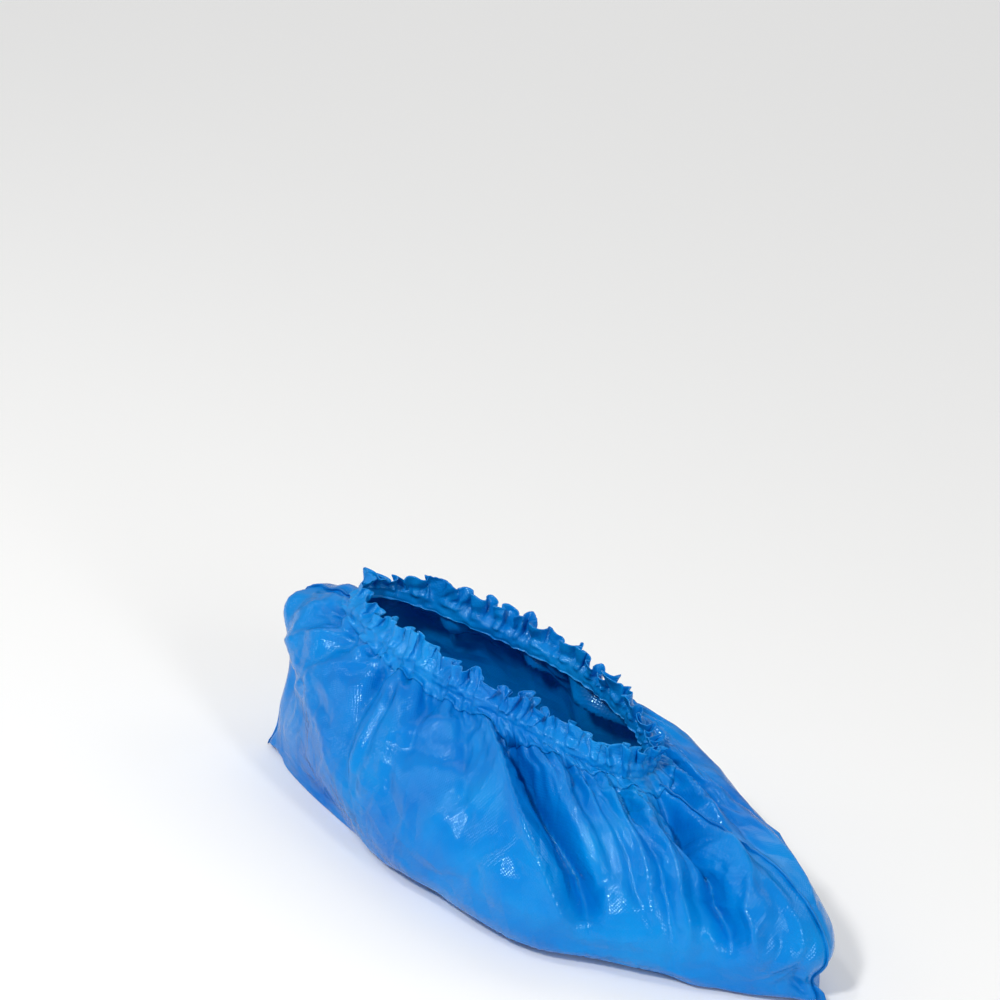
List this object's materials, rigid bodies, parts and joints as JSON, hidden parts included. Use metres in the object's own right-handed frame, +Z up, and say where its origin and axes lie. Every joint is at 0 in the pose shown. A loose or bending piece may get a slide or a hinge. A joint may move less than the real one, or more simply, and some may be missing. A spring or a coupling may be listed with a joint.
{
  "type": "disposable shoe cover",
  "caption": "Thin blue plastic-film overshoe in its worn, puffed shape, with a ruffled elastic opening and welded heel and toe.",
  "frame": {"origin": "middle of the sole's length, on its middle line, on the floor", "axes": "+Z up, +X towards the toe, -Y towards the outer side of the foot"},
  "size_m": [0.2858, 0.1291, 0.0868],
  "materials": {
    "film": "thin glossy blue polyethylene film with a fine embossed grain and creases",
    "hem": "the same glossy blue film, doubled and gathered",
    "elastic": "plain pale elastic, hidden in the hem",
    "weld": "the same film, heat welded in a narrow edge"
  },
  "bodies": {
    "root": {"film_body": "film", "ruffled_hem": "hem", "elastic": "elastic", "heel_weld": "weld", "toe_weld": "weld"}
  },
  "joints": []
}
